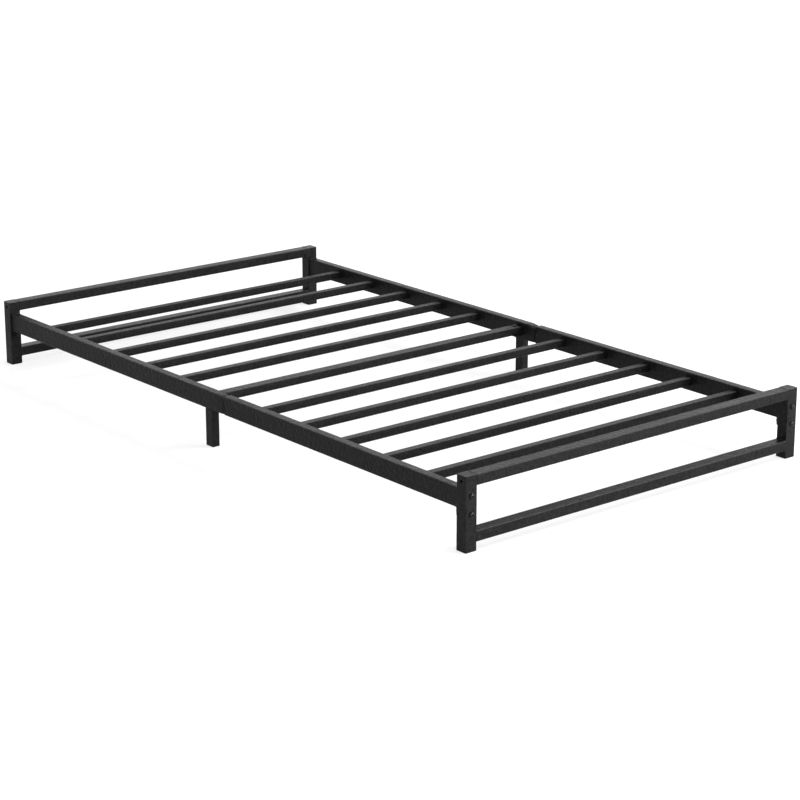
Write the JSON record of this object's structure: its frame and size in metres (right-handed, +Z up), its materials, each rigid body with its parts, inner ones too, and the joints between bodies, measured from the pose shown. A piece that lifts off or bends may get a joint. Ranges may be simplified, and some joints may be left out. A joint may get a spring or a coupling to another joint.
{
  "type": "metal bed frame",
  "caption": "Low-profile metal platform bed frame: welded tube end frames, split side rails, a braced middle and cross slats for a twin mattress.",
  "frame": {"origin": "on the floor, at the middle of the footprint", "axes": "+X along the bed towards the foot end, +Y to the right-hand side rail as seen from the foot end, +Z up"},
  "size_m": [1.9784, 1.075, 0.178],
  "materials": {
    "frame_powder_coat": "black powder coat, semi-gloss, fine orange peel",
    "slat_powder_coat": "black powder coat, semi-gloss, fine orange peel",
    "black_nylon": "moulded black nylon, fine texture",
    "black_zinc_steel": "black zinc plated steel"
  },
  "bodies": {
    "root": {"centre_crossbar": "slat_powder_coat", "crossbar_bolts": "black_zinc_steel", "crossbar_end_plugs": "black_nylon", "crossbar_nuts": "black_zinc_steel", "crossbar_seat_tabs": "frame_powder_coat", "foot_lower_bar": "frame_powder_coat", "foot_post_left": "frame_powder_coat", "foot_post_right": "frame_powder_coat", "foot_top_bar": "frame_powder_coat", "head_lower_bar": "frame_powder_coat", "head_post_left": "frame_powder_coat", "head_post_right": "frame_powder_coat", "head_top_bar": "frame_powder_coat", "mid_leg_glides": "black_nylon", "mid_leg_left": "frame_powder_coat", "mid_leg_right": "frame_powder_coat", "post_bolts": "black_zinc_steel", "post_glides": "black_nylon", "post_top_plates": "frame_powder_coat", "post_weld_nuts": "frame_powder_coat", "rail_end_plates": "frame_powder_coat", "rail_splice_liners": "black_nylon", "rail_splice_nuts": "black_zinc_steel", "rail_splice_screws": "black_zinc_steel", "side_rail_left_foot_half": "frame_powder_coat", "side_rail_left_head_half": "frame_powder_coat", "side_rail_right_foot_half": "frame_powder_coat", "side_rail_right_head_half": "frame_powder_coat", "slat_01": "slat_powder_coat", "slat_02": "slat_powder_coat", "slat_03": "slat_powder_coat", "slat_04": "slat_powder_coat", "slat_05": "slat_powder_coat", "slat_06": "slat_powder_coat", "slat_07": "slat_powder_coat", "slat_08": "slat_powder_coat", "slat_09": "slat_powder_coat", "slat_10": "slat_powder_coat", "slat_end_plugs": "black_nylon", "slat_pins": "frame_powder_coat"}
  },
  "joints": []
}
